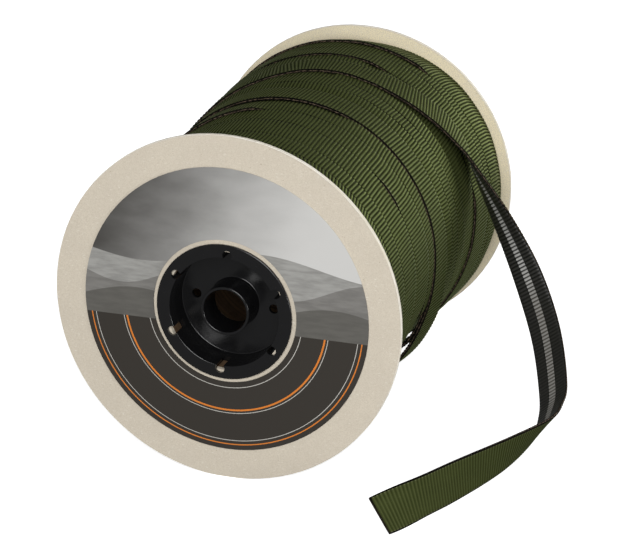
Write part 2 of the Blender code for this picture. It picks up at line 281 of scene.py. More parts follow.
# Studio
FLOOR_SIZE = 6.0
FLOOR_GLOW = 0.74
WORLD_STRENGTH = 0.24
LIGHTS = [
    # name, place, size, watts
    ("front", (0.45, -1.9, 1.0), 1.2, 32.0),
    ("right", (1.4, -0.55, 0.12), 0.4, 6.0),
    ("behind", (0.85, 1.5, 0.50), 0.8, 20.0),
]
LIGHT_AIM = Vector((0.0, 0.0, 0.1))


def srgb(red, green, blue):
    """A colour from 0 to 255 sRGB values, as linear numbers."""
    def linear(value):
        value /= 255
        return value / 12.92 if value <= 0.04045 else ((value + 0.055) / 1.055) ** 2.4
    return (linear(red), linear(green), linear(blue), 1.0)


BOARD_FACE = srgb(217, 207, 190)
# The back flange's board: yellower than the front's, and brightened as painted light to make up for the
# light the roll keeps off its face
BOARD_BACK_PAINTED_LIT = srgb(255, 242, 206)
BOARD_RIM = srgb(228, 218, 198)
BOARD_PALE = srgb(234, 224, 204)
BOARD_DULL = srgb(204, 193, 174)
BOARD_FIBRE = srgb(246, 242, 232)
BOARD_FLECK = srgb(160, 138, 106)
# The core's brown tones are darkened as painted shade for where the core shows deep in the hub's holes
CORE_DARK_PAINTED_SHADE = srgb(84, 64, 44)
CORE_PALE_PAINTED_SHADE = srgb(112, 88, 62)
PLASTIC_BLACK = srgb(17, 17, 18)
PLASTIC_DUST = srgb(84, 84, 86)
LABEL_SKY_DARK = srgb(76, 74, 71)
LABEL_SKY_PALE = srgb(212, 211, 208)
LABEL_GROUND = srgb(58, 54, 49)
LABEL_ORANGE = srgb(226, 132, 52)
LABEL_PALE_INK = srgb(206, 203, 196)
OLIVE_CREST = srgb(92, 100, 58)
OLIVE_MIDDLE = srgb(74, 81, 44)
# The olive grooves' colour is darkened as painted shade
OLIVE_GROOVE_PAINTED_SHADE = srgb(30, 34, 14)
OLIVE_PALE = srgb(116, 124, 84)
OLIVE_GLOSS = (0.56, 0.64, 0.34, 1.0)
LOOP_PALE = srgb(150, 150, 120)
EDGE_BLACK = srgb(9, 8, 7)
EDGE_DARK = srgb(18, 15, 12)
EDGE_BROWN = srgb(104, 90, 76)
# The black ribs' crests are lightened grey as painted highlight
BLACK_CREST_PAINTED_HIGHLIGHT = srgb(60, 59, 56)
BLACK_GROOVE = srgb(8, 8, 8)
STRIPE_BORDER = srgb(6, 6, 6)
STRIPE_BRIGHT = srgb(255, 254, 252)
STRIPE_DIM = srgb(130, 129, 127)
STRIPE_FLECK = srgb(186, 185, 181)
STRIPE_GROOVE = srgb(22, 22, 22)
# The stripe's darker tone over the loose end's last stretch: painted shade where its highlight falls off
STRIPE_LOOSE_PAINTED_SHADE = srgb(96, 90, 80)
FLOOR_PALE = srgb(244, 244, 244)
WHITE = (1.0, 1.0, 1.0, 1.0)


class Paint:
    """A Principled material that is put together from nodes."""

    def __init__(self, name, roughness, **settings):
        self.material = bpy.data.materials.new(name)
        self.material.use_nodes = True
        self.tree = self.material.node_tree
        self.shader = self.tree.nodes["Principled BSDF"]
        self.put("Roughness", roughness)
        for socket, value in settings.items():
            self.put(socket.replace("_", " "), value)

    def put(self, socket, value, node=None):
        """Link or set a socket of a node, which is the shader where no other is named."""
        target = (node or self.shader).inputs[socket]
        if isinstance(value, bpy.types.NodeSocket):
            self.tree.links.new(value, target)
        else:
            target.default_value = value

    def node(self, kind, **settings):
        made = self.tree.nodes.new("ShaderNode" + kind)
        for key, value in settings.items():
            setattr(made, key, value)
        return made

    def place(self):
        return self.node("TexCoord").outputs["Object"]

    def attribute(self, name):
        return self.node("Attribute", attribute_name=name).outputs["Fac"]

    def math(self, operation, *values):
        made = self.node("Math", operation=operation)
        for index, value in enumerate(values):
            self.put(index, value, made)
        return made.outputs[0]

    def smooth(self, value, low, high, to_low=0.0, to_high=1.0):
        """value eased from low..high to to_low..to_high."""
        made = self.node("MapRange", interpolation_type="SMOOTHSTEP")
        for index, item in enumerate((value, low, high, to_low, to_high)):
            self.put(index, item, made)
        return made.outputs[0]

    def mix(self, factor, first, second):
        made = self.node("Mix", data_type="RGBA")
        self.put(0, factor, made)
        self.put(6, first, made)
        self.put(7, second, made)
        return made.outputs[2]

    def noise(self, scale, detail=2.0, vector=None, roughness=0.5):
        made = self.node("TexNoise")
        self.put("Vector", vector or self.place(), made)
        self.put("Scale", scale, made)
        self.put("Detail", detail, made)
        self.put("Roughness", roughness, made)
        return made.outputs[0]

    def stretched(self, x, y, z):
        made = self.node("Mapping")
        self.put("Vector", self.place(), made)
        made.inputs["Scale"].default_value = (x, y, z)
        return made.outputs[0]

    def joined(self, x=0.0, y=0.0, z=0.0):
        made = self.node("CombineXYZ")
        for index, value in enumerate((x, y, z)):
            self.put(index, value, made)
        return made.outputs[0]

    def reel_place(self):
        """Place right of and above the reel's axis, and the distance from it."""
        made = self.node("SeparateXYZ")
        self.put(0, self.place(), made)
        x = self.math("SUBTRACT", made.outputs[0], REEL_ORIGIN.x)
        z = self.math("SUBTRACT", made.outputs[2], REEL_ORIGIN.z)
        squares = self.math("MULTIPLY_ADD", x, x, self.math("MULTIPLY", z, z))
        return x, z, self.math("SQRT", squares)

    def bump(self, height, distance, strength=1.0):
        made = self.node("Bump")
        made.inputs["Strength"].default_value = strength
        made.inputs["Distance"].default_value = distance
        self.put("Height", height, made)
        for link in self.shader.inputs["Normal"].links:
            self.put("Normal", link.from_socket, made)
        self.put("Normal", made.outputs[0])


def board_material(name, face):
    """Fibreboard: a fine even fleck on the faces, and a paler layered rim."""
    paint = Paint(name, 0.88)
    radius = paint.reel_place()[2]
    cloud = paint.noise(60, 4)
    grain = paint.noise(1700, 3)
    fibre = paint.noise(1.0, 2, paint.stretched(400, 1200, 1100))
    colour = paint.mix(paint.smooth(cloud, 0.3, 0.7, 0.0, 0.25), face, BOARD_PALE)
    colour = paint.mix(paint.smooth(grain, 0.35, 0.7, 0.0, 0.7), colour, BOARD_DULL)
    colour = paint.mix(paint.smooth(fibre, 0.62, 0.72, 0.0, 0.35), colour, BOARD_FIBRE)
    dark_fleck = paint.noise(620, 1)
    colour = paint.mix(paint.smooth(dark_fleck, 0.76, 0.80, 0.0, 0.5), colour, BOARD_FLECK)
    layers = paint.noise(1.0, 2, paint.stretched(60, 2600, 60))
    on_rim = paint.smooth(radius, FLANGE_RADIUS - 0.0007, FLANGE_RADIUS - 0.0002)
    rim_colour = paint.mix(paint.smooth(layers, 0.35, 0.65), BOARD_RIM, BOARD_FIBRE)
    paint.put("Base Color", paint.mix(on_rim, colour, rim_colour))
    paint.bump(grain, 0.00010, 0.5)
    paint.bump(paint.math("MULTIPLY", on_rim, layers), 0.0005, 0.8)
    return paint.material


def core_material():
    """Brown board, wound in thin layers, its tones darkened as painted shade for where it shows deep
    behind the hub plugs.
    """
    paint = Paint("brown_core_board_painted_shade", 0.8)
    turns = paint.noise(1.0, 2, paint.stretched(20, 500, 20))
    colour = paint.mix(paint.smooth(turns, 0.35, 0.65), CORE_DARK_PAINTED_SHADE, CORE_PALE_PAINTED_SHADE)
    paint.put("Base Color", colour)
    paint.bump(paint.noise(1100, 2), 0.0001, 0.5)
    return paint.material


def plastic_material():
    """Black moulded plastic, glossy, with a fine grain, faint scuffs and a little dust."""
    paint = Paint("black_plastic", 0.18)
    dust = paint.noise(1500, 2)
    scuff = paint.noise(160, 4)
    colour = paint.mix(paint.smooth(dust, 0.70, 0.78, 0.0, 0.25), PLASTIC_BLACK, PLASTIC_DUST)
    paint.put("Base Color", colour)
    paint.put("Roughness", paint.smooth(scuff, 0.3, 0.75, 0.10, 0.24))
    paint.bump(paint.noise(2600, 2), 0.00004, 0.5)
    return paint.material


def rib_wave(paint, sharpness=1.0):
    """1 on a rib's crest and 0 in the groove beside it, from the mesh's own rib count."""
    turn = paint.math("MULTIPLY", paint.attribute("rib"), math.tau)
    wave = paint.math("MULTIPLY_ADD", paint.math("COSINE", turn), -0.5, 0.5)
    return paint.math("POWER", wave, sharpness)


def faded(paint, crest):
    """The rib wave, drawn towards a darkened middle where the webbing hangs loose and its ribs lie flat:
    painted shade on the loose end.
    """
    around_middle = paint.math("SUBTRACT", crest, RIB_MIDDLE_PAINTED_SHADE)
    return paint.math("MULTIPLY_ADD", around_middle, paint.attribute("relief"), RIB_MIDDLE_PAINTED_SHADE)


def yarn_bump(paint, count, distance):
    """The fine yarns that run along the webbing and make up each rib."""
    turn = paint.math("MULTIPLY", paint.attribute("across"), count * math.tau)
    step = paint.math("MULTIPLY", paint.attribute("rib"), math.pi)
    wave = paint.math("MULTIPLY_ADD", paint.math("SINE", paint.math("ADD", turn, step)), 0.5, 0.5)
    paint.bump(wave, distance, 0.7)


def olive_material():
    """The outer face: olive ribs with grooves darkened as painted shade, and a row of pale loops beside
    each edge.
    """
    paint = Paint("olive_webbing", 0.34, Specular_IOR_Level=0.05, Specular_Tint=OLIVE_GLOSS)
    crest = faded(paint, rib_wave(paint, 1.3))
    paint.put("Roughness", paint.smooth(crest, 0.15, 0.75, 0.90, 0.34))
    paint.put("Metallic", paint.smooth(crest, 0.30, 0.80, 0.0, 0.45))
    across = paint.attribute("across")
    along = paint.attribute("rib")
    patch_place = paint.joined(paint.math("MULTIPLY", across, 3.0), paint.math("MULTIPLY", along, 0.06))
    patch = paint.noise(1.0, 3, patch_place)
    speck_place = paint.joined(paint.math("MULTIPLY", across, 45.0), paint.math("MULTIPLY", along, 1.7))
    speck = paint.noise(1.0, 2, speck_place)
    # Grooves darker than the crests: painted shade in the grooves
    colour = paint.mix(crest, OLIVE_GROOVE_PAINTED_SHADE, OLIVE_CREST)
    colour = paint.mix(paint.smooth(patch, 0.3, 0.75, 0.0, 0.25), colour, OLIVE_MIDDLE)
    colour = paint.mix(paint.smooth(speck, 0.62, 0.8, 0.0, 0.35), colour, OLIVE_PALE)
    from_edge = paint.math("SUBTRACT", 0.5, paint.math("ABSOLUTE", paint.math("SUBTRACT", across, 0.5)))
    loops = paint.math("MULTIPLY", paint.smooth(from_edge, 0.056, 0.046), paint.smooth(crest, 0.35, 0.8))
    colour = paint.mix(paint.math("MULTIPLY", loops, 0.55), colour, LOOP_PALE)
    colour = paint.mix(paint.smooth(from_edge, 0.038, 0.030), colour, EDGE_BLACK)
    paint.put("Base Color", colour)
    yarn_bump(paint, 48, 0.00012)
    return paint.material


def black_material():
    """The inner face: black ribs with crests lightened grey as painted highlight, and the pale stripe
    woven down the middle between two borders.
    """
    paint = Paint("black_webbing", 0.34)
    crest = faded(paint, rib_wave(paint))
    across = paint.attribute("across")
    along = paint.attribute("rib")
    # Crests lightened over the black: painted highlight
    colour = paint.mix(crest, BLACK_GROOVE, BLACK_CREST_PAINTED_HIGHLIGHT)
    from_middle = paint.math("ABSOLUTE", paint.math("SUBTRACT", across, 0.5))
    stripe = paint.smooth(from_middle, 0.125, 0.110)
    past_stripe = paint.smooth(from_middle, 0.110, 0.125)
    border = paint.math("MULTIPLY", paint.smooth(from_middle, 0.150, 0.135), past_stripe)
    pick = paint.math("SINE", paint.math("MULTIPLY", along, 3 * math.tau))
    end = paint.math("SINE", paint.math("MULTIPLY", across, 36 * math.tau))
    weave = paint.math("MULTIPLY_ADD", paint.math("MULTIPLY", pick, end), 0.5, 0.5)
    fleck_place = paint.joined(paint.math("MULTIPLY", across, 60.0), paint.math("MULTIPLY", along, 2.2))
    fleck = paint.noise(1.0, 2, fleck_place)
    silver = paint.mix(weave, STRIPE_DIM, STRIPE_BRIGHT)
    silver = paint.mix(paint.smooth(fleck, 0.35, 0.7, 0.0, 0.35), silver, STRIPE_FLECK)
    silver = paint.mix(paint.smooth(crest, 0.60, 0.20, 0.0, 0.90), silver, STRIPE_GROOVE)
    # The stripe dimmed over the loose end's last stretch, where the ribs lie flatter: painted shade
    loose_painted_shade = paint.smooth(paint.attribute("relief"), LOOSE_RELIEF, 1.0, 0.5, 0.0)
    silver = paint.mix(loose_painted_shade, silver, STRIPE_LOOSE_PAINTED_SHADE)
    colour = paint.mix(border, colour, STRIPE_BORDER)
    paint.put("Base Color", paint.mix(stripe, colour, silver))
    yarn_bump(paint, 48, 0.00010)
    return paint.material


def selvedge_material():
    """The woven edge: brown-grey flecks along its middle, between two black borders."""
    paint = Paint("dark_selvedge", 0.8, Specular_IOR_Level=0.04)
    along = paint.attribute("rib")
    loop = paint.noise(1.0, 2, paint.joined(paint.attribute("edge"), paint.math("MULTIPLY", along, 1.3)))
    brown = paint.mix(paint.smooth(loop, 0.42, 0.62), EDGE_DARK, EDGE_BROWN)
    from_middle = paint.math("ABSOLUTE", paint.attribute("edge"))
    colour = paint.mix(paint.smooth(from_middle, 0.45, 0.75), brown, EDGE_BLACK)
    paint.put("Base Color", colour)
    paint.bump(rib_wave(paint), 0.0003, 0.6)
    return paint.material


def link_piece(name, mesh, materials, nodes):
    """Show a mesh in the reel's frame, in place of the named solids."""
    for material in materials:
        mesh.materials.append(material)
    piece = bpy.data.objects.new(name, mesh)
    bpy.context.scene.collection.objects.link(piece)
    piece.location = REEL_ORIGIN
    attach(piece, "root")
    for node in nodes:
        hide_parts(node)
    return piece


def between(table, column, key):
    """Read one column of a table at a key, straight between its rows."""
    if key <= table[0][0]:
        return table[0][column]
    for low, high in zip(table, table[1:]):
        if key <= high[0]:
            share = (key - low[0]) / (high[0] - low[0])
            return low[column] + share * (high[column] - low[column])
    return table[-1][column]


def smooth_between(rows, place):
    """A row on the smooth curve through a list of equal-length rows of numbers."""
    last = len(rows) - 1
    index = min(int(place), last - 1)
    t = place - index
    before = rows[max(index - 1, 0)]
    start = rows[index]
    end = rows[index + 1]
    after = rows[min(index + 2, last)]
    result = []
    for p0, p1, p2, p3 in zip(before, start, end, after):
        value = 2 * p1 + (p2 - p0) * t
        value += (2 * p0 - 5 * p1 + 4 * p2 - p3) * t * t
        value += (3 * p1 - p0 - 3 * p2 + p3) * t * t * t
        result.append(value / 2)
    return result


def winding_radius(y, angle):
    mean = between(WINDING_SHAPE, 1, y)
    right = between(WINDING_SHAPE, 2, y)
    up = between(WINDING_SHAPE, 3, y)
    slipped = max(0.0, (y - SLIP_FROM_Y) / (REEL_LENGTH - FLANGE_THICKNESS - SLIP_FROM_Y))
    turned = math.remainder(angle - SLIP_ANGLE, math.tau)
    slip = SLIP_DEPTH * slipped * math.exp(-((turned / SLIP_SPREAD) ** 2))
    return mean + right * math.cos(angle) + up * math.sin(angle) - slip


def on_circle(radius, angle, y):
    return Vector((radius * math.cos(angle), y, radius * math.sin(angle)))


def ease(value):
    value = min(max(value, 0.0), 1.0)
    return value * value * (3 - 2 * value)


def window(angle, low_degrees, high_degrees):
    """1 inside the angles and 0 outside them, eased over EDGE_FADE at each end."""
    if low_degrees == high_degrees:
        return 0.0
    if high_degrees - low_degrees >= 360:
        return 1.0
    half = math.radians(high_degrees - low_degrees) / 2
    middle = math.radians(high_degrees + low_degrees) / 2
    away = abs(math.remainder(angle - middle, math.tau))
    return ease((half - away) / EDGE_FADE + 0.5)


def rib_height(phase):
    """A rib's rounded crest at half counts, and the narrow groove at whole counts."""
    return RIB_HEIGHT * (0.5 - 0.5 * math.cos(math.tau * phase)) ** 0.75


def set_attributes(mesh, **columns):
    for name, values in columns.items():
        attribute = mesh.attributes.new(name, "FLOAT", "POINT")
        attribute.data.foreach_set("value", values)


def outer_strip_front(degrees):
    """Where the outer strip's front edge runs at an angle of its own count."""
    for low, high in zip(OUTER_STRIP, OUTER_STRIP[1:]):
        if high[0] <= degrees <= low[0]:
            return low[1] + (high[1] - low[1]) * (low[0] - degrees) / (low[0] - high[0])
    return None


def valley(y, angle):
    """How far a turn dips beside the outer strip's proud front edges."""
    dip = 0.0
    degrees = math.degrees(angle) % 360
    for turn in (0, 360):
        front = outer_strip_front(degrees - turn)
        if front is not None and y < front + 0.001:
            share = window(angle, VALLEY_FROM, VALLEY_TO)
            dip += share * math.exp(-(((front - y) / VALLEY_WIDTH) ** 2))
    return -VALLEY_DEPTH * min(dip, 1.0)


def turn_front(index, angle):
    """Where a wound turn's front edge runs at an angle."""
    if index == len(TURNS):
        return REEL_LENGTH - FLANGE_THICKNESS - LAST_TURN_GAP
    if index == SLACK_LANE:
        first_pass = math.degrees(angle) % 360
        if first_pass > OUTER_STRIP[0][0]:
            first_pass -= 360
        return outer_strip_front(first_pass) - SLACK_LANE_LEAD
    front_y, swing, swing_at = TURNS[index][:3]
    sway = TURN_WAVE * math.sin(2 * angle + index * 1.3)
    return front_y + swing * math.cos(angle - math.radians(swing_at)) + sway


def turn_rows(width):
    """A turn's rows: distance from the front edge, share of the width, drop, rib share, edge place."""
    rows = [(start, 0.0, drop, ribbed, edge) for start, drop, ribbed, edge in TURN_EDGE_ROWS]
    face_rows = max(4, round(width / TURN_ROW_SPACING))
    for step in range(face_rows + 1):
        rows.append((TURN_FACE_START, step / face_rows, 0.0, 1.0, -PAST_EDGE))
    rows.append((TURN_TUCK_START, 1.0, TURN_TUCK_DROP, TURN_TUCK_RIBS, -PAST_EDGE))
    return rows


def turn_piece(index, materials):
    """One wound turn: its ribbed outer face from the front edge to where the next turn covers it."""
    open_rise, open_from, open_to, level, low_from, low_to, sunk_from, sunk_to = TURNS[index][3:]
    rows = turn_rows(turn_front(index + 1, 0.0) - turn_front(index, 0.0))
    middle_y = (turn_front(index, 0.0) + turn_front(index + 1, 0.0)) / 2
    ribs = round(math.tau * winding_radius(middle_y, 0.0) / RIB_PITCH)
    steps = ribs * RIB_STEPS
    first_phase = index * RIB_PHASE_STEP
    vertices = []
    across = []
    counts = []
    edges = []
    for step in range(steps):
        base_angle = math.tau * step / steps
        phase = step / RIB_STEPS
        opened = window(base_angle, open_from, open_to)
        rise = open_rise * opened + SUNK_DEPTH * window(base_angle, sunk_from, sunk_to)
        low = level * window(base_angle, low_from, low_to)
        front = turn_front(index, base_angle)
        width = turn_front(index + 1, base_angle) - front
        around = Vector((math.cos(base_angle) * 3, math.sin(base_angle) * 3, index * 7.3))
        for start, share, drop, ribbed, edge in rows:
            offset = start + share * (width - TURN_FACE_MARGIN)
            y = front + offset
            lean = between(RIB_LEAN, 1, y)
            lean += RIB_UNEVENNESS * noise.noise(around + Vector((0, 0, y * 60)))
            radius = winding_radius(y, base_angle) + valley(y, base_angle)
            angle = base_angle + (lean + first_phase * RIB_PITCH) / radius
            fall = max(0.0, 1 - offset / width)
            radius += low + drop + rise * fall ** 1.3
            radius += TURN_UNEVENNESS * noise.noise(around * 1.7 + Vector((0, 0, y * 90)))
            radius += ribbed * (rib_height(phase) - RIB_SUNK)
            vertices.append(on_circle(radius, angle, y))
            share_across = SEEN_ACROSS * offset / max(width, WEBBING_WIDTH)
            across.append(FIRST_ACROSS + share_across + SHUT_ACROSS * (1 - opened))
            counts.append(phase)
            edges.append(edge)
    count = len(rows)
    faces = []
    for step in range(steps):
        here = step * count
        there = ((step + 1) % steps) * count
        for i in range(count - 1):
            faces.append((here + i, here + i + 1, there + i + 1, there + i))
    mesh = bpy.data.meshes.new(f"turn_{index + 1:02d}")
    mesh.from_pydata(vertices, [], faces)
    set_attributes(mesh, across=across, rib=counts, edge=edges, relief=[1.0] * len(vertices))
    mesh.shade_smooth()
    for face in mesh.polygons:
        row = face.index % (count - 1)
        face.material_index = 1 if row < len(TURN_EDGE_ROWS) - 1 else 0
    return link_piece(mesh.name, mesh, materials, ["winding"])


def strip_section():
    """The webbing's section, anticlockwise: place across, height, rib share, surface, edge place.

    The surfaces are 0, the olive face; 1, the black face; and 2, the selvedges.
    """
    side = WEBBING_WIDTH / 2
    inset = side - EDGE_SOFTNESS
    face = FACE_HEIGHT
    shoulder = face * 0.93
    edge = EDGE_HALF_THICKNESS
    section = [(-side, -edge, 0.0, 2, -1.0), (-inset, -shoulder, 0.1, 1, -PAST_EDGE)]
    section += [(side * share, -face, -1.0, 1, -PAST_EDGE) for share in FACE_SHARES]
    section += [(inset, -shoulder, 0.1, 2, -PAST_EDGE), (side, -edge, 0.0, 2, -1.0)]
    section += [(side, edge, 0.0, 2, 1.0), (inset, shoulder, 0.1, 0, PAST_EDGE)]
    section += [(side * share, face, 1.0, 0, PAST_EDGE) for share in reversed(FACE_SHARES)]
    section += [(-inset, shoulder, 0.1, 2, PAST_EDGE), (-side, edge, 0.0, 2, 1.0)]
    return section


def loose_relief(steps_left, loose_steps):
    """How deep the ribs are: 1 on the roll, less over the last loose_steps before the cut end."""
    if not loose_steps:
        return 1.0
    loose = ease(1 + (loose_steps - steps_left) / (loose_steps * LOOSE_FADE))
    return 1 + (LOOSE_RELIEF - 1) * loose


def strip_piece(name, stations, first_rib, materials, nodes, loose_steps=0):
    """A whole strip of webbing through (centre, across) stations, one rib step apart.

    across points from the back edge to the front edge, and the olive face is on across x along.
    """
    section = strip_section()
    vertices = []
    across_values = []
    counts = []
    edges = []
    reliefs = []
    last = len(stations) - 1
    for index, (centre, across) in enumerate(stations):
        along = stations[min(index + 1, last)][0] - stations[max(index - 1, 0)][0]
        along.normalize()
        side = (across - along * across.dot(along)).normalized()
        up = side.cross(along)
        phase = first_rib + index / RIB_STEPS
        relief = loose_relief(last - index, loose_steps)
        for u, v, ribbed, _, edge in section:
            lift = relief * ribbed * rib_height(phase + (0.5 if ribbed < 0 else 0.0))
            reliefs.append(relief)
            vertices.append(centre + side * u + up * (v + lift))
            across_values.append(0.5 - u / WEBBING_WIDTH if index < last - 1 else 0.0)
            counts.append(phase + (0.5 if v < 0 else 0.0))
            edges.append(edge)
    count = len(section)
    faces = []
    kinds = []
    for index in range(last):
        here = index * count
        there = here + count
        for i in range(count):
            j = (i + 1) % count
            faces.append((here + i, here + j, there + j, there + i))
            kinds.append(section[i][3])
    faces.append(tuple(range(count)))
    faces.append(tuple(reversed(range(last * count, last * count + count))))
    kinds += [2, 2]
    mesh = bpy.data.meshes.new(name)
    mesh.from_pydata(vertices, [], faces)
    set_attributes(mesh, across=across_values, rib=counts, edge=edges, relief=reliefs)
    mesh.polygons.foreach_set("material_index", kinds)
    mesh.shade_smooth()
    mesh.update()
    bm = bmesh.new()
    bm.from_mesh(mesh)
    bmesh.ops.recalc_face_normals(bm, faces=bm.faces)
    bm.to_mesh(mesh)
    bm.free()
    return link_piece(name, mesh, materials, nodes)


def evenly(path, samples):
    """Stations one rib step apart along a path, which gives (centre, across) for 0..1."""
    marks = [path(i / samples) for i in range(samples + 1)]
    lengths = [0.0]
    for (a, _), (b, _) in zip(marks, marks[1:]):
        lengths.append(lengths[-1] + (b - a).length)
    count = int(lengths[-1] / RIB_PITCH * RIB_STEPS)
    stations = []
    index = 0
    for step in range(count + 1):
        goal = lengths[-1] * step / count
        while index < samples - 1 and lengths[index + 1] < goal:
            index += 1
        share = (goal - lengths[index]) / (lengths[index + 1] - lengths[index])
        centre = marks[index][0].lerp(marks[index + 1][0], share)
        across = marks[index][1].lerp(marks[index + 1][1], share)
        stations.append((centre, across))
    return stations, lengths[-1]


def strip_place(row):
    """The strip's centre and its across direction, from a row of an edge table."""
    degrees, front_y, front_height, back_height = row
    angle = math.radians(degrees)
    back_y = front_y + WEBBING_WIDTH
    front_radius = winding_radius(front_y, angle) + front_height - FACE_HEIGHT
    back_radius = winding_radius(back_y, angle) + back_height - FACE_HEIGHT
    front = on_circle(front_radius, angle, front_y)
    back = on_circle(back_radius, angle, back_y)
    return (front + back) / 2, (front - back).normalized()


def outer_strip_piece(materials):
    """The strip that shows last: its slack turn, its last turn, and the loose end to the cut."""
    rows = []
    turn_samples = 6
    for step in range((len(OUTER_STRIP) - 1) * turn_samples + 1):
        centre, across = strip_place(smooth_between(OUTER_STRIP, step / turn_samples))
        rows.append((*centre, *across))
    for x, y, z, turn, rise in LOOSE_END:
        turn = math.radians(turn)
        rise = math.radians(rise)
        level = math.cos(rise)
        across = Vector((level * math.cos(turn), level * math.sin(turn), math.sin(rise)))
        rows.append((x, y, z, *across))

    def path(place):
        values = smooth_between(rows, place * (len(rows) - 1))
        return Vector(values[:3]), Vector(values[3:])

    stations, length = evenly(path, 6000)
    loose_steps = round(LOOSE_LENGTH / RIB_PITCH * RIB_STEPS)
    nodes = ["slack_turn", "loose_end"]
    piece = strip_piece("outer_webbing", stations, 0.45, materials, nodes, loose_steps)
    for vertex in piece.data.vertices:
        vertex.co.z = max(vertex.co.z, FLOOR_Z)
    return piece


def inner_bulge_piece(materials):
    """The turn below, seen edge on in the gap between the roll and the slack."""
    def path(place):
        return strip_place(smooth_between(INNER_BULGE, place * (len(INNER_BULGE) - 1)))

    stations, length = evenly(path, 400)
    piece = strip_piece("inner_bulge_webbing", stations, 0.2, materials, [])
    return piece


def filleted(outline, fillet, steps=3):
    """A closed outline with each sharp corner rounded by short arcs."""
    rounded = []
    count = len(outline)
    for index, corner in enumerate(outline):
        corner = Vector(corner)
        before = Vector(outline[index - 1]) - corner
        after = Vector(outline[(index + 1) % count]) - corner
        reach = min(fillet, before.length * 0.45, after.length * 0.45)
        start = corner + before.normalized() * reach
        end = corner + after.normalized() * reach
        for step in range(steps + 1):
            t = step / steps
            rounded.append(start * (1 - t) ** 2 + corner * 2 * t * (1 - t) + end * t * t)
    return rounded


def turned_piece_mesh(name, profile, steps):
    """A profile of (radius, y) points, turned about the Y axis."""
    bm = bmesh.new()
    points = [bm.verts.new((radius, y, 0.0)) for radius, y in profile]
    edges = [bm.edges.new((points[i], points[(i + 1) % len(points)])) for i in range(len(points))]
    bmesh.ops.spin(
        bm,
        geom=points + edges,
        cent=(0, 0, 0),
        axis=(0, 1, 0),
        angle=math.tau,
        steps=steps,
        use_merge=True,
    )
    bmesh.ops.remove_doubles(bm, verts=bm.verts, dist=1e-7)
    bmesh.ops.recalc_face_normals(bm, faces=bm.faces)
    mesh = bpy.data.meshes.new(name)
    bm.to_mesh(mesh)
    bm.free()
    return mesh


def cut_with_rods(mesh, rods):
    """Cut round holes along Y out of a mesh. A rod is (radius, place, length)."""
    target = bpy.data.objects.new("cut_target", mesh)
    bpy.context.scene.collection.objects.link(target)
    cutters = []
    for radius, place, length in rods:
        bm = bmesh.new()
        bmesh.ops.create_cone(
            bm,
            cap_ends=True,
            segments=ROD_SEGMENTS,
            radius1=radius,
            radius2=radius,
            depth=length,
        )
        rod_mesh = bpy.data.meshes.new("rod")
        bm.to_mesh(rod_mesh)
        bm.free()
        rod = bpy.data.objects.new("rod", rod_mesh)
        rod.rotation_euler = (math.pi / 2, 0, 0)
        rod.location = place
        bpy.context.scene.collection.objects.link(rod)
        cut = target.modifiers.new("cut", "BOOLEAN")
        cut.operation = "DIFFERENCE"
        cut.solver = "EXACT"
        cut.object = rod
        cutters.append(rod)
    bpy.context.view_layer.update()
    result = bpy.data.meshes.new_from_object(target.evaluated_get(bpy.context.evaluated_depsgraph_get()))
    for item in cutters + [target]:
        bpy.data.objects.remove(item)
    return result


def plug_piece(name, face_y, inward, material):
    """A hub plug: a lip on the board, a recessed cup with notches, and a tube for a spindle."""
    def depth(distance):
        return face_y + inward * distance

    lip_back = -PLUG_SEAT_GAP
    lip_front = lip_back - PLUG_LIP_THICKNESS
    floor_back = PLUG_RECESS_DEPTH + PLUG_FLOOR_THICKNESS
    outline = [
        (PLUG_LIP_RADIUS, lip_back),
        (PLUG_LIP_RADIUS, lip_front),
        (PLUG_RECESS_RADIUS, lip_front),
        (PLUG_RECESS_RADIUS, PLUG_RECESS_DEPTH),
        (PLUG_TUBE_RADIUS, PLUG_RECESS_DEPTH),
        (PLUG_TUBE_RADIUS, 0.0),
        (PLUG_BORE_RADIUS, 0.0),
        (PLUG_BORE_RADIUS, floor_back),
        (PLUG_SLEEVE_RADIUS, floor_back),
        (PLUG_SLEEVE_RADIUS, lip_back),
    ]
    profile = [(radius, depth(distance)) for radius, distance in filleted(outline, PLUG_FILLET)]
    mesh = turned_piece_mesh(name, profile, PLUG_STEPS)
    rods = []
    for index in range(PLUG_NOTCH_COUNT):
        angle = PLUG_NOTCH_ANGLE + index * math.tau / PLUG_NOTCH_COUNT
        place = on_circle(PLUG_NOTCH_CIRCLE, angle, depth(0.0))
        rods.append((PLUG_NOTCH_RADIUS, place, PLUG_NOTCH_DEPTH * 2))
    for index in range(PLUG_FLOOR_HOLE_COUNT):
        angle = PLUG_FLOOR_HOLE_ANGLE + index * math.tau / PLUG_FLOOR_HOLE_COUNT
        middle = depth(PLUG_RECESS_DEPTH + PLUG_FLOOR_THICKNESS / 2)
        place = on_circle(PLUG_FLOOR_HOLE_CIRCLE, angle, middle)
        rods.append((PLUG_FLOOR_HOLE_RADIUS, place, PLUG_FLOOR_THICKNESS * 4))
    mesh = cut_with_rods(mesh, rods)
    mesh.shade_smooth()
    mesh.set_sharp_from_angle(angle=math.radians(50))
    return link_piece(name + "_moulding", mesh, [material], [name])


LABEL_BANDS = [
    # base, rise, wave_length, start, tone
    (0.0330, 0.0060, 0.150, 0.6, srgb(168, 167, 163)),
    (0.0190, 0.0075, 0.105, 2.4, srgb(134, 132, 128)),
    (0.0030, 0.0060, 0.125, 4.4, srgb(104, 102, 97)),
]
LABEL_RINGS = [
    # radius, width, tone
    (0.0868, 0.0007, LABEL_ORANGE),
    (0.0842, 0.0004, LABEL_PALE_INK),
    (0.0660, 0.0004, LABEL_PALE_INK),
    (0.0640, 0.0011, LABEL_ORANGE),
    (0.0492, 0.0004, LABEL_PALE_INK),
]


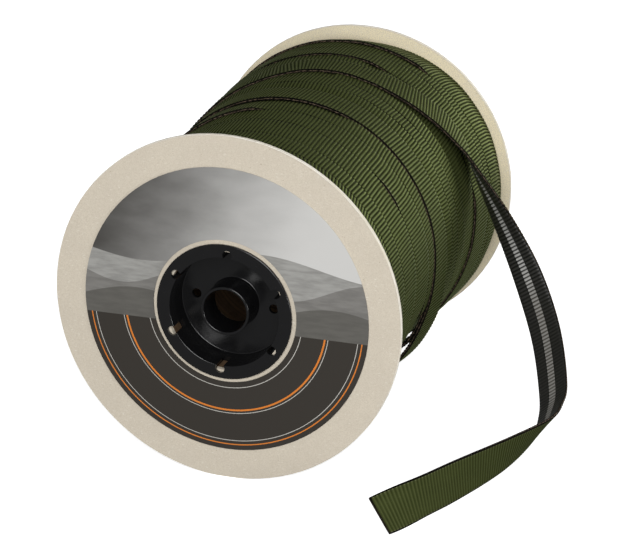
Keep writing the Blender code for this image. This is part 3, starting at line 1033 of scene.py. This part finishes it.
def label_material():
    """Printed paper: a pale sky over rolling grey bands, and a charcoal ground with thin rings."""
    paint = Paint("label_print", 0.5, Specular_IOR_Level=0.25)
    x, z, radius = paint.reel_place()
    slope = paint.math("MULTIPLY_ADD", z, -0.45, x)
    haze = paint.noise(1.0, 4, paint.stretched(26, 1, 60))
    shade = paint.math("MULTIPLY_ADD", haze, 0.05, slope)
    colour = paint.mix(paint.smooth(shade, -0.085, 0.070), LABEL_SKY_DARK, LABEL_SKY_PALE)
    grain = paint.noise(1.0, 3, paint.stretched(60, 1, 300), 0.6)
    for base, rise, length, start, tone in LABEL_BANDS:
        turn = paint.math("MULTIPLY_ADD", x, math.tau / length, start)
        crest = paint.math("MULTIPLY_ADD", paint.math("SINE", turn), rise, base)
        under = paint.smooth(paint.math("SUBTRACT", crest, z), -LABEL_PRINT_EDGE, LABEL_PRINT_EDGE)
        ground = paint.mix(paint.smooth(grain, 0.3, 0.7, 0.0, 0.35), tone, LABEL_SKY_DARK)
        colour = paint.mix(under, colour, ground)
    below = paint.smooth(z, LABEL_GROUND_Z + LABEL_PRINT_EDGE, LABEL_GROUND_Z - LABEL_PRINT_EDGE)
    colour = paint.mix(below, colour, LABEL_GROUND)
    for line_radius, width, tone in LABEL_RINGS:
        away = paint.math("ABSOLUTE", paint.math("SUBTRACT", radius, line_radius))
        line = paint.smooth(away, width / 2 + LABEL_PRINT_EDGE, width / 2 - LABEL_PRINT_EDGE)
        colour = paint.mix(paint.math("MULTIPLY", line, below), colour, tone)
    paint.put("Base Color", colour)
    paint.bump(paint.noise(1400, 2), 0.00003, 0.3)
    return paint.material


def stage():
    """A pale floor, soft lights and the camera."""
    floor_mesh = bpy.data.meshes.new("floor")
    signs = ((-1, -1), (1, -1), (1, 1), (-1, 1))
    corners = [(FLOOR_SIZE * x, FLOOR_SIZE * y, 0) for x, y in signs]
    floor_mesh.from_pydata(corners, [], [(0, 1, 2, 3)])
    floor = bpy.data.objects.new("floor", floor_mesh)
    bpy.context.scene.collection.objects.link(floor)
    paint = Paint("pale_floor", 0.9)
    paint.put("Base Color", FLOOR_PALE)
    paint.put("Emission Color", WHITE)
    paint.put("Emission Strength", FLOOR_GLOW)
    floor_mesh.materials.append(paint.material)
    floor.visible_diffuse = False
    floor.visible_glossy = False

    world = bpy.data.worlds.new("studio")
    world.use_nodes = True
    background = world.node_tree.nodes["Background"]
    background.inputs["Color"].default_value = WHITE
    background.inputs["Strength"].default_value = WORLD_STRENGTH
    bpy.context.scene.world = world

    for name, place, size, power in LIGHTS:
        light = bpy.data.lights.new(name, "AREA")
        light.size = size
        light.energy = power
        lamp = bpy.data.objects.new(name, light)
        lamp.location = place
        lamp.rotation_euler = (LIGHT_AIM - lamp.location).to_track_quat("-Z", "Y").to_euler()
        bpy.context.scene.collection.objects.link(lamp)

    camera_data = bpy.data.cameras.new("camera")
    camera_data.lens = CAMERA_LENS
    camera_data.sensor_width = CAMERA_SENSOR
    camera = bpy.data.objects.new("camera", camera_data)
    camera.location = REEL_ORIGIN + CAMERA_PLACE
    camera.rotation_euler = (CAMERA_PITCH, 0.0, CAMERA_HEADING)
    bpy.context.scene.collection.objects.link(camera)
    bpy.context.scene.camera = camera
    bpy.context.scene.view_settings.view_transform = "Standard"


def dress(node, material):
    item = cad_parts[node]
    item.data.materials.clear()
    item.data.materials.append(material)


def main():
    stage()
    dress("flange_front", board_material("front_board", BOARD_FACE))
    # The back board's colour is brightened as painted light
    dress("flange_back", board_material("back_board_painted_lit", BOARD_BACK_PAINTED_LIT))
    dress("core_tube", core_material())
    dress("label", label_material())
    plastic = plastic_material()
    plug_piece("plug_front", 0.0, 1, plastic)
    plug_piece("plug_back", REEL_LENGTH, -1, plastic)
    olive = olive_material()
    black = black_material()
    selvedge = selvedge_material()
    for index in range(len(TURNS)):
        turn_piece(index, [olive, selvedge])
    outer_strip_piece([olive, black, selvedge])
    inner_bulge_piece([olive, black, selvedge])


main()
